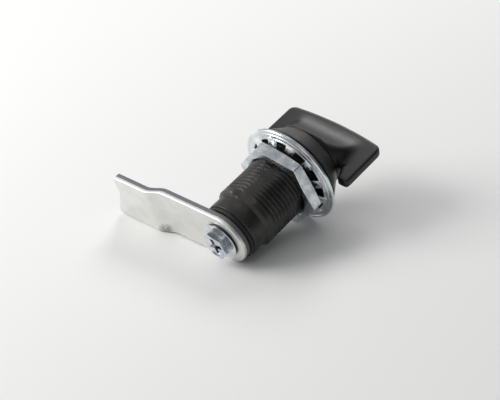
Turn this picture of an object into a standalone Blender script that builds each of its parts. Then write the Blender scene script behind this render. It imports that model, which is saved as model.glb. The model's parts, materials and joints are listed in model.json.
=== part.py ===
"""Quarter-turn cam latch with a wing knob, lying on its washer rim and its cam.

The lock is modelled along its own axis: local +Z points out of the panel towards the knob, local +X
points along the cam, and Z = 0 is the plane where the tooth washer meets the flange gasket. The empty
"lying_pose" lays that frame down on a level surface, with the knob end tipped up, and the empty
"turning_axis" under it carries everything that turns with the knob.
"""

import math

import bmesh
import bpy
import mathutils

MM = 0.001

# ---- fits -------------------------------------------------------------------------------------------
GAP = 0.3 * MM              # between pieces that touch or turn on each other
FIT_GAP = 0.15 * MM         # between the thin pieces clamped by the cam bolt
SEAL_GAP = 0.1 * MM         # round the O-rings
LAP = 0.4 * MM              # how far joined solids reach into each other

# ---- housing ----------------------------------------------------------------------------------------
THREAD_DIAMETER = 22.0 * MM
ACROSS_FLATS = THREAD_DIAMETER - 1.8 * MM
THREAD_LENGTH = 23.9 * MM   # from Z = 0 to the end of the thread's chamfer
THREAD_CHAMFER = 0.9 * MM
NECK_DIAMETER = THREAD_DIAMETER - 2.2 * MM
NECK_LENGTH = 5.5 * MM
BEZEL_DIAMETER = THREAD_DIAMETER + 10.6 * MM
BEZEL_TOP_DIAMETER = 24.8 * MM
BEZEL_HEIGHT = 6.7 * MM
BEZEL_LIP = 0.4 * MM
FLATS_ANGLE = 16.0          # degrees from the cam's direction to the nearest flat's normal
REAR_RECESS_DEPTH = 3.1 * MM

# ---- gasket, tooth washer, nut ----------------------------------------------------------------------
GASKET_DIAMETER = BEZEL_DIAMETER - 0.6 * MM
GASKET_THICKNESS = 0.9 * MM
WASHER_DIAMETER = THREAD_DIAMETER + 14.0 * MM
WASHER_THICKNESS = 1.1 * MM
WASHER_RIM_WIDTH = 3.4 * MM
WASHER_DISH = 0.5 * MM      # how far the rim's inner edge is set back
WASHER_TEETH = 12
TOOTH_WIDTH = 3.5 * MM
TOOTH_SLOPE = 24.0          # degrees
TOOTH_TWIST = 9.0           # degrees
TOOTH_FIRST_ANGLE = 22.6    # degrees
NUT_ACROSS_FLATS = THREAD_DIAMETER + 5.0 * MM
NUT_THICKNESS = 4.1 * MM
NUT_CHAMFER = 0.9 * MM
NUT_ANGLE = 15.8            # degrees from the cam's direction to a corner

# ---- spindle and what turns on it -------------------------------------------------------------------
SPINDLE_DIAMETER = 12.0 * MM
REAR_RECESS_DIAMETER = SPINDLE_DIAMETER + 4.0 * MM
SQUARE_SIZE = 8.0 * MM
KNOB_SQUARE_LENGTH = 6.0 * MM
TAPPED_DEPTH = 13.5 * MM
O_RING_SECTION = 1.6 * MM
O_RING_GROOVE_WIDTH = 2.3 * MM
O_RING_DEPTHS = (3.0 * MM, 9.0 * MM)
RETAINER_DIAMETER = SPINDLE_DIAMETER + 2.6 * MM
RETAINER_THICKNESS = 0.8 * MM
RETAINER_GROOVE_DEPTH = 0.8 * MM
RETAINER_MOUTH = SPINDLE_DIAMETER / 2
WAVE_WASHER_DIAMETER = SPINDLE_DIAMETER + 3.4 * MM
WAVE_WASHER_THICKNESS = 0.4 * MM
WAVE_HEIGHT = 0.2 * MM
THRUST_WASHER_DIAMETER = 23.2 * MM
THRUST_WASHER_WIDTH = 1.3 * MM
THRUST_WASHER_THICKNESS = 0.6 * MM
STOP_RING_DIAMETER = NECK_DIAMETER - 0.6 * MM
STOP_RING_THICKNESS = 1.1 * MM
STOP_LUG_HEIGHT = 1.4 * MM
STOP_LUG_ANGLE = 26.0       # degrees of arc
STOP_LUG_PLACE = 205.0      # degrees from the cam's direction
STOP_MARGIN = 2.0           # degrees of clearance at each end of the turn
TURN = 90.0                 # degrees from shut to open

# ---- detents ----------------------------------------------------------------------------------------
BALL_SHARE = 0.7            # of the wall between the bore and the thrust washer
BALL_ANGLES = (150.0, 330.0)
SPRING_HEIGHT = 2.6 * MM
SPRING_WIRE = 0.36 * MM
SPRING_TURNS = 4

# ---- cam and its bolt -------------------------------------------------------------------------------
CAM_WIDTH = 18.2 * MM
CAM_THICKNESS = 2.6 * MM
CAM_REACH = 51.6 * MM       # axis to the far corner of the tip
CAM_TIP_SLANT = 5.0 * MM    # how much shorter the cam is along its other edge
CAM_TIP_SQUARE = 7.1 * MM   # how much of the shorter end is cut square
CAM_TIP_ROUND = 1.2 * MM
CRANK = 2.2 * MM
CRANK_START = 24.5 * MM     # axis to the first bend
CRANK_END = 31.5 * MM       # axis to the second bend
LOCK_WASHER_DIAMETER = 12.4 * MM
LOCK_WASHER_THICKNESS = 0.4 * MM
BOLT_DIAMETER = 5.8 * MM
BOLT_LENGTH = 13.0 * MM
BOLT_FLANGE_DIAMETER = 12.8 * MM
BOLT_FLANGE_THICKNESS = 0.35 * MM
BOLT_ACROSS_FLATS = 8.9 * MM
BOLT_HEX_HEIGHT = 2.95 * MM
BOLT_ANGLE = 12.5           # degrees
RECESS_WIDTH = 1.1 * MM
RECESS_LENGTH = 5.2 * MM
RECESS_DEPTH = 1.5 * MM

# ---- wing knob --------------------------------------------------------------------------------------
WING_LENGTH = BEZEL_DIAMETER + 5.3 * MM
WING_THICKNESS = 3.3 * MM
WING_TOP = 25.05 * MM       # height of the outer edge over Z = 0, at its middle
WING_BOW = 1.5 * MM         # how much lower that edge is at the wing's ends
WING_CORNER = 2.4 * MM
WING_EDGE_ROUND = 0.6 * MM
TIP_BOTTOM = 5.1 * MM       # height of the tips' rear ends over Z = 0
TIP_WIDTH = 3.9 * MM
NOTCH_TOP = 11.0 * MM
HUB_RIM = 0.7 * MM
SCOOP_TOP = 22.4 * MM
SCOOP_RADIUS = 17.0 * MM
WING_ANGLE = 7.5            # degrees from the cam's direction to the wing's

# ---- smoothness -------------------------------------------------------------------------------------
FINE = 64
MEDIUM = 48
COARSE = 32

# ---- heights and radii that follow from the sizes ---------------------------------------------------
GASKET_BOTTOM = GAP
BEZEL_BOTTOM = GASKET_BOTTOM + GASKET_THICKNESS + GAP
BEZEL_TOP = BEZEL_BOTTOM + BEZEL_HEIGHT
NECK_END = -THREAD_LENGTH - NECK_LENGTH
BORE_RADIUS = SPINDLE_DIAMETER / 2 + GAP
RECESS_FLOOR = NECK_END + REAR_RECESS_DEPTH
WASHER_INNER_RADIUS = WASHER_DIAMETER / 2 - WASHER_RIM_WIDTH
TOOTH_TIP_RADIUS = THREAD_DIAMETER / 2 + 2 * GAP
TOOTH_RUN = WASHER_INNER_RADIUS - TOOTH_TIP_RADIUS
WASHER_BACK = -(WASHER_DISH + WASHER_THICKNESS + TOOTH_RUN * math.tan(math.radians(TOOTH_SLOPE)))
TWIST_DROP = 0.5 * TOOTH_WIDTH * math.sin(math.radians(TOOTH_TWIST))
NUT_FRONT = WASHER_BACK - TWIST_DROP - GAP
STOP_RING_FRONT = NECK_END - GAP
CAM_BACK = STOP_RING_FRONT - STOP_RING_THICKNESS - GAP
CAM_FACE = CAM_BACK - CAM_THICKNESS
LOCK_WASHER_FRONT = CAM_FACE - FIT_GAP
BOLT_SEAT = LOCK_WASHER_FRONT - LOCK_WASHER_THICKNESS - FIT_GAP
THRUST_WASHER_INNER_RADIUS = THRUST_WASHER_DIAMETER / 2 - THRUST_WASHER_WIDTH
BALL_DIAMETER = BALL_SHARE * (THRUST_WASHER_INNER_RADIUS - BORE_RADIUS)
BALL_CIRCLE_DIAMETER = THRUST_WASHER_INNER_RADIUS + BORE_RADIUS
BALL_PROUD = BALL_DIAMETER / 4
SPRING_DIAMETER = BALL_DIAMETER - 0.2 * MM
HUB_BOTTOM = BEZEL_TOP + GAP
HUB_RADIUS = BEZEL_TOP_DIAMETER / 2 - GAP
RETAINER_TOP = RECESS_FLOOR - 2 * GAP - WAVE_WASHER_THICKNESS - 2 * WAVE_HEIGHT

# ---- how it lies: on the washer's rim, and on both edges of the cranked cam --------------------------
LEAN = math.atan2((WASHER_DIAMETER - CAM_WIDTH) / 2, -CAM_FACE - WASHER_THICKNESS)
ROLL = math.asin(CRANK * math.tan(LEAN) / CRANK_END)


# ---- helpers ----------------------------------------------------------------------------------------
def clear_scene():
    """Remove every object that is already in the file."""
    for obj in list(bpy.data.objects):
        bpy.data.objects.remove(obj, do_unlink=True)


def new_collection(name):
    """A collection linked to the scene."""
    collection = bpy.data.collections.new(name)
    bpy.context.scene.collection.children.link(collection)
    return collection


def new_empty(name, parent):
    """An empty that carries a group of parts."""
    empty = bpy.data.objects.new(name, None)
    empty.parent = parent
    PARTS.objects.link(empty)
    return empty


def new_material(name, colour, roughness, metallic):
    """A Principled material in one colour."""
    material = bpy.data.materials.new(name)
    material.use_nodes = True
    shader = material.node_tree.nodes["Principled BSDF"]
    shader.inputs["Base Color"].default_value = (*colour, 1.0)
    shader.inputs["Roughness"].default_value = roughness
    shader.inputs["Metallic"].default_value = metallic
    material.diffuse_color = (*colour, 1.0)
    return material


def as_part(obj, parent, colour, roughness, metallic):
    """Put a finished object among the parts, with its own material."""
    PARTS.objects.link(obj)
    obj.parent = parent
    obj.data.materials.append(new_material(obj.name, colour, roughness, metallic))
    return obj


def as_cutter(obj, parent):
    """Put a helper solid among the cutters."""
    CUTTERS.objects.link(obj)
    obj.parent = parent
    obj.hide_render = True
    obj.display_type = "WIRE"
    return obj


def boolean(obj, operation, other):
    """Cut, join or intersect an object with a helper solid."""
    modifier = obj.modifiers.new(operation.lower(), "BOOLEAN")
    modifier.operation = operation
    modifier.solver = "EXACT"
    modifier.object = other


def turned(name, profile, segments, closed=True):
    """A turned solid: the profile is (radius, height), down its outer side and up its inner side."""
    mesh = bpy.data.meshes.new(name)
    count = len(profile)
    edges = [(i, (i + 1) % count) for i in range(count if closed else count - 1)]
    mesh.from_pydata([(radius, 0.0, height) for radius, height in profile], edges, [])
    obj = bpy.data.objects.new(name, mesh)
    screw = obj.modifiers.new("turn", "SCREW")
    screw.axis = "Z"
    screw.angle = math.tau
    screw.steps = segments
    screw.render_steps = segments
    screw.use_merge_vertices = True
    screw.merge_threshold = 0.00001
    screw.use_smooth_shade = True
    return obj


def ring(name, inner, outer, bottom, top, segments):
    """A plain turned ring."""
    return turned(name, [(outer, top), (outer, bottom), (inner, bottom), (inner, top)], segments)


def from_bmesh(name, bm):
    """An object from a bmesh, shaded smooth with its real edges sharp."""
    mesh = bpy.data.meshes.new(name)
    bmesh.ops.recalc_face_normals(bm, faces=bm.faces)
    bm.to_mesh(mesh)
    bm.free()
    mesh.shade_smooth()
    mesh.set_sharp_from_angle(angle=math.radians(30))
    return bpy.data.objects.new(name, mesh)


def block(name, size, centre, angle=0.0):
    """A box, turned about Z by an angle in degrees."""
    bm = bmesh.new()
    bmesh.ops.create_cube(bm, size=1.0)
    bmesh.ops.scale(bm, vec=size, verts=bm.verts)
    obj = from_bmesh(name, bm)
    obj.location = centre
    obj.rotation_euler.z = math.radians(angle)
    return obj


def rod(name, radius, bottom, top, segments, place=(0.0, 0.0), angle=0.0):
    """A cylinder or prism along Z, with a corner at the given angle in degrees."""
    bm = bmesh.new()
    bmesh.ops.create_cone(bm, cap_ends=True, segments=segments, radius1=radius, radius2=radius,
                          depth=top - bottom)
    obj = from_bmesh(name, bm)
    obj.location = (*place, (top + bottom) / 2)
    # create_cone puts its first corner on +Y
    obj.rotation_euler.z = math.radians(angle - 90.0)
    return obj


def arc(centre, radius, start, end, steps):
    """Points on an arc, with its angles in degrees."""
    angles = [math.radians(start + (end - start) * i / steps) for i in range(steps + 1)]
    return [(centre[0] + radius * math.cos(a), centre[1] + radius * math.sin(a)) for a in angles]


def rounded(corners, steps=4):
    """An outline through (x, y, radius) corners, with each corner rounded by its radius."""
    outline = []
    count = len(corners)
    for i, (x, y, radius) in enumerate(corners):
        if radius <= 0.0:
            outline.append((x, y))
            continue
        before, after = corners[i - 1], corners[(i + 1) % count]
        a = math.atan2(before[1] - y, before[0] - x)
        b = math.atan2(after[1] - y, after[0] - x)
        turn = (b - a + math.pi) % math.tau - math.pi
        middle = a + turn / 2
        reach = radius / math.sin(abs(turn) / 2)
        centre = (x + reach * math.cos(middle), y + reach * math.sin(middle))
        sweep = math.pi - abs(turn)
        first = middle + math.pi + math.copysign(sweep / 2, turn)
        last = middle + math.pi - math.copysign(sweep / 2, turn)
        outline += arc(centre, radius, math.degrees(first), math.degrees(last), steps)
    return outline


def plate(name, outline, thickness, edge_round=0.0):
    """A flat outline with a thickness, centred on the XY plane, as a mesh."""
    curve = bpy.data.curves.new(name, "CURVE")
    curve.dimensions = "2D"
    curve.fill_mode = "BOTH"
    curve.extrude = thickness / 2 - edge_round
    curve.bevel_depth = edge_round
    curve.bevel_resolution = 1
    curve.offset = -edge_round
    spline = curve.splines.new("POLY")
    spline.points.add(len(outline) - 1)
    for point, (x, y) in zip(spline.points, outline):
        point.co = (x, y, 0.0, 1.0)
    spline.use_cyclic_u = True
    return curve_to_mesh(name, curve)


def curve_to_mesh(name, curve):
    """A closed mesh object from a curve."""
    guide = bpy.data.objects.new(name + "_curve", curve)
    bpy.context.scene.collection.objects.link(guide)
    graph = bpy.context.evaluated_depsgraph_get()
    mesh = bpy.data.meshes.new_from_object(guide.evaluated_get(graph))
    bpy.data.objects.remove(guide)
    bm = bmesh.new()
    bm.from_mesh(mesh)
    bpy.data.meshes.remove(mesh)
    bmesh.ops.remove_doubles(bm, verts=bm.verts, dist=0.00001)
    return from_bmesh(name, bm)


def on_circle(diameter, angle):
    """A point on a circle about the lock's axis, at an angle in degrees."""
    a = math.radians(angle)
    return diameter / 2 * math.cos(a), diameter / 2 * math.sin(a)


def sector(name, inner, outer, bottom, top, start, end):
    """A solid between two radii, two heights and two angles in degrees."""
    outline = arc((0.0, 0.0), outer, start, end, 16) + arc((0.0, 0.0), inner, end, start, 16)
    obj = plate(name, outline, top - bottom)
    obj.location.z = (top + bottom) / 2
    return obj


# ---- fixed parts ------------------------------------------------------------------------------------
def housing():
    """Bezel, threaded barrel with four flats, and plain neck, bored for the spindle."""
    groove_inner = THRUST_WASHER_DIAMETER / 2 - THRUST_WASHER_WIDTH - GAP
    groove_outer = THRUST_WASHER_DIAMETER / 2 + GAP / 2
    groove_floor = BEZEL_TOP - THRUST_WASHER_THICKNESS - GAP / 2
    thread = THREAD_DIAMETER / 2
    neck = NECK_DIAMETER / 2
    recess = REAR_RECESS_DIAMETER / 2
    obj = turned("housing", [
        (BEZEL_TOP_DIAMETER / 2, BEZEL_TOP),
        (BEZEL_DIAMETER / 2, BEZEL_BOTTOM + BEZEL_LIP),
        (BEZEL_DIAMETER / 2, BEZEL_BOTTOM),
        (thread, BEZEL_BOTTOM),
        (thread, -THREAD_LENGTH + THREAD_CHAMFER),
        (neck, -THREAD_LENGTH),
        (neck, NECK_END),
        (recess, NECK_END),
        (recess, RECESS_FLOOR),
        (BORE_RADIUS, RECESS_FLOOR),
        (BORE_RADIUS, BEZEL_TOP),
        (groove_inner, BEZEL_TOP),
        (groove_inner, groove_floor),
        (groove_outer, groove_floor),
        (groove_outer, BEZEL_TOP),
    ], FINE)
    as_part(obj, LYING, (0.018, 0.016, 0.016), 0.45, 0.0)
    cut_flats(obj)
    cut_detent_bores(obj)
    cut_stop_notch(obj)
    return obj


def cut_flats(obj):
    """Four flats along the thread, square to each other."""
    depth = THREAD_DIAMETER
    length = THREAD_LENGTH + BEZEL_BOTTOM - GAP
    middle = (BEZEL_BOTTOM - GAP - THREAD_LENGTH) / 2
    for i in range(4):
        angle = FLATS_ANGLE + 90.0 * i
        x, y = on_circle(ACROSS_FLATS + depth, angle)
        cutter = block(f"cut_flat_{i + 1}", (depth, 2 * THREAD_DIAMETER, length), (x, y, middle), angle)
        boolean(obj, "DIFFERENCE", as_cutter(cutter, LYING))


def ball_height():
    """Height of the balls' centres."""
    return BEZEL_TOP + BALL_PROUD - BALL_DIAMETER / 2


def spring_bottom():
    """Height of the detent springs' lower ends."""
    return ball_height() - BALL_DIAMETER / 2 - GAP - SPRING_HEIGHT


def cut_detent_bores(obj):
    """A blind bore under the bezel's face for each detent ball and its spring."""
    for i, angle in enumerate(BALL_ANGLES):
        cutter = rod(f"cut_detent_{i + 1}", BALL_DIAMETER / 2 + GAP, spring_bottom() - GAP,
                     BEZEL_TOP + GAP, COARSE, on_circle(BALL_CIRCLE_DIAMETER, angle))
        boolean(obj, "DIFFERENCE", as_cutter(cutter, LYING))


def cut_stop_notch(obj):
    """The notch in the neck's end that the stop lug turns in."""
    reach = STOP_LUG_ANGLE / 2 + STOP_MARGIN
    start = math.degrees(ROLL) + STOP_LUG_PLACE
    cutter = sector("cut_stop_notch", REAR_RECESS_DIAMETER / 2 - GAP, NECK_DIAMETER / 2 + GAP,
                    NECK_END - GAP, STOP_RING_FRONT + STOP_LUG_HEIGHT + GAP,
                    start - reach, start + TURN + reach)
    boolean(obj, "DIFFERENCE", as_cutter(cutter, LYING))


def flange_gasket():
    """Flat rubber ring between the bezel and the panel."""
    obj = ring("flange_gasket", THREAD_DIAMETER / 2 + GAP, GASKET_DIAMETER / 2,
               GASKET_BOTTOM, GASKET_BOTTOM + GASKET_THICKNESS, FINE)
    return as_part(obj, LYING, (0.008, 0.008, 0.008), 0.75, 0.0)


def thrust_washer():
    """Slip ring that the knob turns on, set in the bezel's face."""
    obj = ring("thrust_washer", THRUST_WASHER_INNER_RADIUS, THRUST_WASHER_DIAMETER / 2,
               BEZEL_TOP - THRUST_WASHER_THICKNESS, BEZEL_TOP, MEDIUM)
    return as_part(obj, LYING, (0.62, 0.6, 0.55), 0.4, 0.0)


def detent_balls():
    """The two balls that click into the knob at shut and open."""
    for i, angle in enumerate(BALL_ANGLES):
        bm = bmesh.new()
        bmesh.ops.create_uvsphere(bm, u_segments=16, v_segments=10, radius=BALL_DIAMETER / 2)
        obj = from_bmesh(f"detent_ball_{i + 1}", bm)
        obj.location = (*on_circle(BALL_CIRCLE_DIAMETER, angle), ball_height())
        as_part(obj, LYING, (0.6, 0.61, 0.62), 0.15, 1.0)


def detent_springs():
    """The coil spring under each ball."""
    radius = (SPRING_DIAMETER - SPRING_WIRE) / 2
    rise = SPRING_HEIGHT - SPRING_WIRE
    steps = 10 * SPRING_TURNS
    for i, angle in enumerate(BALL_ANGLES):
        curve = bpy.data.curves.new(f"detent_spring_{i + 1}", "CURVE")
        curve.dimensions = "3D"
        curve.bevel_depth = SPRING_WIRE / 2
        curve.bevel_resolution = 1
        curve.use_fill_caps = True
        spline = curve.splines.new("POLY")
        spline.points.add(steps)
        for step, point in enumerate(spline.points):
            turn = math.tau * SPRING_TURNS * step / steps
            point.co = (radius * math.cos(turn), radius * math.sin(turn), rise * step / steps, 1.0)
        obj = curve_to_mesh(f"detent_spring_{i + 1}", curve)
        obj.location = (*on_circle(BALL_CIRCLE_DIAMETER, angle), spring_bottom() + SPRING_WIRE / 2)
        as_part(obj, LYING, (0.5, 0.5, 0.52), 0.25, 1.0)


def tooth_washer():
    """Dished washer with twisted teeth round its bore."""
    outer = WASHER_DIAMETER / 2
    inner = WASHER_INNER_RADIUS
    obj = turned("tooth_washer", [
        (outer, 0.0),
        (outer, -WASHER_THICKNESS),
        (inner, -WASHER_DISH - WASHER_THICKNESS),
        (inner, -WASHER_DISH),
    ], FINE)
    as_part(obj, LYING, (0.72, 0.74, 0.76), 0.25, 1.0)
    boolean(obj, "UNION", as_cutter(washer_teeth(), LYING))
    return obj


def washer_teeth():
    """All the washer's teeth as one helper solid of separate blades."""
    root = 0.5 * WASHER_RIM_WIDTH
    thickness = 0.8 * WASHER_THICKNESS
    slope = math.radians(TOOTH_SLOPE)
    twist = math.radians(TOOTH_TWIST)
    bm = bmesh.new()
    for i in range(WASHER_TEETH):
        blade = bmesh.ops.create_cube(bm, size=1.0)["verts"]
        bmesh.ops.scale(bm, vec=(TOOTH_RUN / math.cos(slope), TOOTH_WIDTH, thickness), verts=blade)
        bmesh.ops.rotate(bm, matrix=rotation(twist, "X"), verts=blade)
        # the root end is drawn out into the rim, level with it
        roots = [v for v in blade if v.co.x > 0]
        bmesh.ops.rotate(bm, matrix=rotation(-slope, "Y"), verts=blade)
        bmesh.ops.translate(bm, vec=(root, 0.0, 0.0), verts=roots)
        middle = (WASHER_INNER_RADIUS + TOOTH_TIP_RADIUS) / 2
        height = -WASHER_DISH - WASHER_THICKNESS / 2 - TOOTH_RUN / 2 * math.tan(slope)
        bmesh.ops.translate(bm, vec=(middle, 0.0, height), verts=blade)
        angle = math.radians(TOOTH_FIRST_ANGLE) + math.tau * i / WASHER_TEETH
        bmesh.ops.rotate(bm, matrix=rotation(angle, "Z"), verts=blade)
    return from_bmesh("join_washer_teeth", bm)


def rotation(angle, axis):
    """A rotation matrix about one axis, from an angle in radians."""
    return mathutils.Matrix.Rotation(angle, 3, axis)


def hex_nut():
    """Thin hexagon nut on the barrel, chamfered on both faces."""
    top = NUT_FRONT
    bottom = NUT_FRONT - NUT_THICKNESS
    corner = NUT_ACROSS_FLATS / 2 / math.cos(math.radians(30))
    face = NUT_ACROSS_FLATS / 2 - NUT_CHAMFER / 4
    drop = (corner - face) * math.tan(math.radians(25))
    obj = rod("hex_nut", corner, bottom, top, 6, angle=NUT_ANGLE)
    as_part(obj, LYING, (0.62, 0.66, 0.7), 0.3, 1.0)
    outside = turned("keep_nut_chamfer", [
        (0.0, top + GAP), (face, top + GAP), (face, top), (corner, top - drop),
        (corner, bottom + drop), (face, bottom), (face, bottom - GAP), (0.0, bottom - GAP),
    ], FINE, closed=False)
    boolean(obj, "INTERSECT", as_cutter(outside, LYING))
    bore = THREAD_DIAMETER / 2 + GAP
    inside = turned("cut_nut_bore", [
        (0.0, top + GAP), (bore + NUT_CHAMFER + GAP, top + GAP), (bore, top - NUT_CHAMFER),
        (bore, bottom + NUT_CHAMFER), (bore + NUT_CHAMFER + GAP, bottom - GAP), (0.0, bottom - GAP),
    ], FINE, closed=False)
    boolean(obj, "DIFFERENCE", as_cutter(inside, LYING))
    return obj


# ---- turning parts ----------------------------------------------------------------------------------
def scoop_outline():
    """Cross-section of one finger scoop, from the hub's rim up to the thin outer edge."""
    low = (HUB_RADIUS, HUB_BOTTOM + HUB_RIM)
    high = (WING_THICKNESS / 2 - LAP / 2, SCOOP_TOP)  # just inside the wing's faces
    chord = math.dist(low, high)
    middle = ((low[0] + high[0]) / 2, (low[1] + high[1]) / 2)
    sagitta = math.sqrt(SCOOP_RADIUS ** 2 - (chord / 2) ** 2)
    along = ((low[0] - high[0]) / chord, (low[1] - high[1]) / chord)
    centre = (middle[0] - sagitta * along[1], middle[1] + sagitta * along[0])
    start = math.degrees(math.atan2(low[1] - centre[1], low[0] - centre[0]))
    end = math.degrees(math.atan2(high[1] - centre[1], high[0] - centre[0]))
    if end > start:
        end -= 360.0
    far = 2 * HUB_RADIUS
    return [(far, WING_TOP + far), (far, low[1])] + arc(centre, SCOOP_RADIUS, start, end, 14) + [
        (high[0], WING_TOP + far)]


def wing_outline():
    """Side view of the wing: bowed outer edge, square ends and tips that reach back past the bezel."""
    half = WING_LENGTH / 2
    end_top = WING_TOP - WING_BOW
    bow_radius = (half ** 2 + WING_BOW ** 2) / (2 * WING_BOW)
    reach = math.degrees(math.asin((half - WING_CORNER) / bow_radius))
    bow = arc((0.0, WING_TOP - bow_radius), bow_radius, 90.0 - reach, 90.0 + reach, 12)
    inner = half - TIP_WIDTH
    notch_inner = HUB_RADIUS - 2 * GAP
    right = [
        (notch_inner, HUB_BOTTOM + HUB_RIM, 0.0),
        (notch_inner, NOTCH_TOP, 0.0),
        (HUB_RADIUS + HUB_RIM, NOTCH_TOP, 0.0),
        (inner, TIP_BOTTOM, WING_EDGE_ROUND * 1.5),
        (half, TIP_BOTTOM, WING_EDGE_ROUND * 2),
        (half, end_top, WING_CORNER),
    ]
    corners = right + [(x, y, 0.0) for x, y in bow] + [(-x, y, r) for x, y, r in reversed(right)]
    return rounded(corners)


def wing_knob():
    """Hub with two finger scoops, and the wing across it."""
    obj = turned("wing_knob", [
        (0.0, SCOOP_TOP + GAP), (HUB_RADIUS, SCOOP_TOP + GAP), (HUB_RADIUS, HUB_BOTTOM),
        (0.0, HUB_BOTTOM),
    ], FINE, closed=False)
    as_part(obj, TURNING, (0.02, 0.018, 0.018), 0.4, 0.0)
    obj.rotation_euler.z = math.radians(WING_ANGLE)
    for side, name in ((0.0, "left"), (180.0, "right")):
        scoop = plate(f"cut_scoop_{name}", scoop_outline(), 3 * HUB_RADIUS)
        scoop.rotation_euler = (math.radians(90), 0.0, math.radians(90 + WING_ANGLE + side))
        boolean(obj, "DIFFERENCE", as_cutter(scoop, TURNING))
    wing = plate("join_wing", wing_outline(), WING_THICKNESS, WING_EDGE_ROUND)
    wing.rotation_euler = (math.radians(90), 0.0, math.radians(WING_ANGLE))
    boolean(obj, "UNION", as_cutter(wing, TURNING))
    pocket = SQUARE_SIZE + 2 * GAP
    depth = KNOB_SQUARE_LENGTH + GAP
    socket = block("cut_knob_socket", (pocket, pocket, depth + GAP),
                   (0.0, 0.0, HUB_BOTTOM + (depth - GAP) / 2))
    boolean(obj, "DIFFERENCE", as_cutter(socket, TURNING))
    circle = BALL_CIRCLE_DIAMETER / 2
    half = BALL_DIAMETER / 2 + GAP
    track = ring("cut_ball_track", circle - half, circle + half, HUB_BOTTOM - GAP,
                 BEZEL_TOP + BALL_PROUD + GAP, MEDIUM)
    boolean(obj, "DIFFERENCE", as_cutter(track, TURNING))
    return obj


def spindle():
    """Shaft through the housing, with a square on each end, seal grooves and a tapped end."""
    radius = SPINDLE_DIAMETER / 2
    groove = BORE_RADIUS - SEAL_GAP * 2 - O_RING_SECTION
    profile = [(0.0, BEZEL_TOP), (radius, BEZEL_TOP)]
    for depth in O_RING_DEPTHS:
        top = -depth + O_RING_GROOVE_WIDTH / 2
        bottom = -depth - O_RING_GROOVE_WIDTH / 2
        profile += [(radius, top), (groove, top), (groove, bottom), (radius, bottom)]
    clip = radius - RETAINER_GROOVE_DEPTH
    top = RETAINER_TOP + SEAL_GAP
    bottom = RETAINER_TOP - RETAINER_THICKNESS - SEAL_GAP
    profile += [(radius, top), (clip, top), (clip, bottom), (radius, bottom)]
    shoulder = NECK_END + SEAL_GAP
    profile += [(radius, shoulder), (0.0, shoulder)]
    obj = turned("spindle", profile, MEDIUM, closed=False)
    as_part(obj, TURNING, (0.66, 0.67, 0.68), 0.3, 1.0)
    knob_top = HUB_BOTTOM + KNOB_SQUARE_LENGTH
    knob_square = block("join_knob_square", (SQUARE_SIZE, SQUARE_SIZE, knob_top - BEZEL_TOP + LAP),
                        (0.0, 0.0, (knob_top + BEZEL_TOP - LAP) / 2))
    boolean(obj, "UNION", as_cutter(knob_square, TURNING))
    cam_end = CAM_FACE + GAP
    cam_square = block("join_cam_square", (SQUARE_SIZE, SQUARE_SIZE, shoulder - cam_end + LAP),
                       (0.0, 0.0, (shoulder + cam_end + LAP) / 2))
    boolean(obj, "UNION", as_cutter(cam_square, TURNING))
    tapped = rod("cut_tapped_hole", BOLT_DIAMETER / 2 + GAP, cam_end - GAP, cam_end + TAPPED_DEPTH, COARSE)
    boolean(obj, "DIFFERENCE", as_cutter(tapped, TURNING))
    return obj


def o_rings():
    """The two seals on the spindle."""
    outer = BORE_RADIUS - SEAL_GAP
    for i, depth in enumerate(O_RING_DEPTHS):
        bpy.ops.mesh.primitive_torus_add(major_segments=40, minor_segments=8,
                                         major_radius=outer - O_RING_SECTION / 2,
                                         minor_radius=O_RING_SECTION / 2)
        obj = bpy.context.active_object
        for collection in list(obj.users_collection):
            collection.objects.unlink(obj)
        obj.name = f"spindle_o_ring_{i + 1}"
        obj.location = (0.0, 0.0, -depth)
        obj.data.shade_smooth()
        as_part(obj, TURNING, (0.01, 0.01, 0.01), 0.6, 0.0)


def wave_washer():
    """Wavy spring washer that takes up the spindle's end play."""
    inner = SPINDLE_DIAMETER / 2 + GAP
    outer = WAVE_WASHER_DIAMETER / 2
    middle = RECESS_FLOOR - GAP - WAVE_HEIGHT - WAVE_WASHER_THICKNESS / 2
    bm = bmesh.new()
    section = bmesh.ops.create_grid(bm, x_segments=1, y_segments=1, size=0.5)["verts"]
    bmesh.ops.scale(bm, vec=(outer - inner, WAVE_WASHER_THICKNESS, 1.0), verts=section)
    bmesh.ops.rotate(bm, matrix=rotation(math.pi / 2, "X"), verts=section)
    bmesh.ops.translate(bm, vec=((outer + inner) / 2, 0.0, 0.0), verts=section)
    bmesh.ops.delete(bm, geom=bm.faces[:], context="FACES_ONLY")
    bmesh.ops.spin(bm, geom=bm.edges[:], cent=(0.0, 0.0, 0.0), axis=(0.0, 0.0, 1.0), angle=math.tau,
                   steps=MEDIUM, use_merge=True)
    for vert in bm.verts:
        vert.co.z += middle + WAVE_HEIGHT * math.sin(3 * math.atan2(vert.co.y, vert.co.x))
    obj = from_bmesh("wave_washer", bm)
    return as_part(obj, TURNING, (0.5, 0.5, 0.52), 0.3, 1.0)


def retaining_ring():
    """Open ring in the spindle's groove that holds the spindle in the housing."""
    inner = SPINDLE_DIAMETER / 2 - RETAINER_GROOVE_DEPTH + SEAL_GAP
    bottom = RETAINER_TOP - RETAINER_THICKNESS
    obj = ring("retaining_ring", inner, RETAINER_DIAMETER / 2, bottom, RETAINER_TOP, MEDIUM)
    as_part(obj, TURNING, (0.12, 0.12, 0.13), 0.35, 1.0)
    mouth = block("cut_retainer_mouth", (RETAINER_DIAMETER, RETAINER_MOUTH, 3 * RETAINER_THICKNESS),
                  (-RETAINER_DIAMETER / 2, 0.0, (bottom + RETAINER_TOP) / 2))
    boolean(obj, "DIFFERENCE", as_cutter(mouth, TURNING))
    return obj


def square_hole(name, bottom, top):
    """A cutter for the hole that fits the spindle's square end."""
    size = SQUARE_SIZE + 2 * GAP
    return as_cutter(block(name, (size, size, top - bottom + 2 * GAP), (0.0, 0.0, (top + bottom) / 2)),
                     TURNING)


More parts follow.
